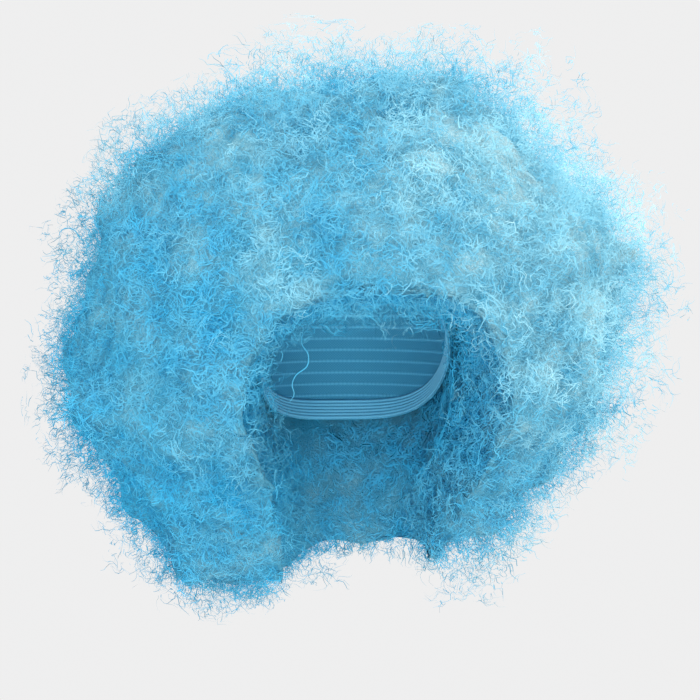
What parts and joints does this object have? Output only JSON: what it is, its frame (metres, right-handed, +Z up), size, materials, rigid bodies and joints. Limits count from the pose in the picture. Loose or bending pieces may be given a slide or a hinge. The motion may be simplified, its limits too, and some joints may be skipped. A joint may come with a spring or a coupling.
{
  "type": "afro wig",
  "caption": "Large round afro wig of teased curly fibre sewn to a stretch-net cap, with an arched face opening and an elastic hem inside the cap.",
  "frame": {"origin": "inside of the cap at the crown, where the top of the wearer's head bears", "axes": "+Z up through the crown, -Y out of the face opening, +X towards the wearer's left, which is the right side seen from the front"},
  "size_m": [0.4918, 0.4327, 0.4511],
  "materials": {
    "net": "open stretch net with sewn rows of weft",
    "elastic": "woven elastic",
    "hair": "matte curly synthetic fibre, teased out"
  },
  "bodies": {
    "root": {"wig_cap": "net", "cap_band": "elastic", "hair_crown": "hair", "hair_fringe": "hair", "hair_left": "hair", "hair_right": "hair", "hair_back": "hair", "hair_nape": "hair"}
  },
  "joints": []
}
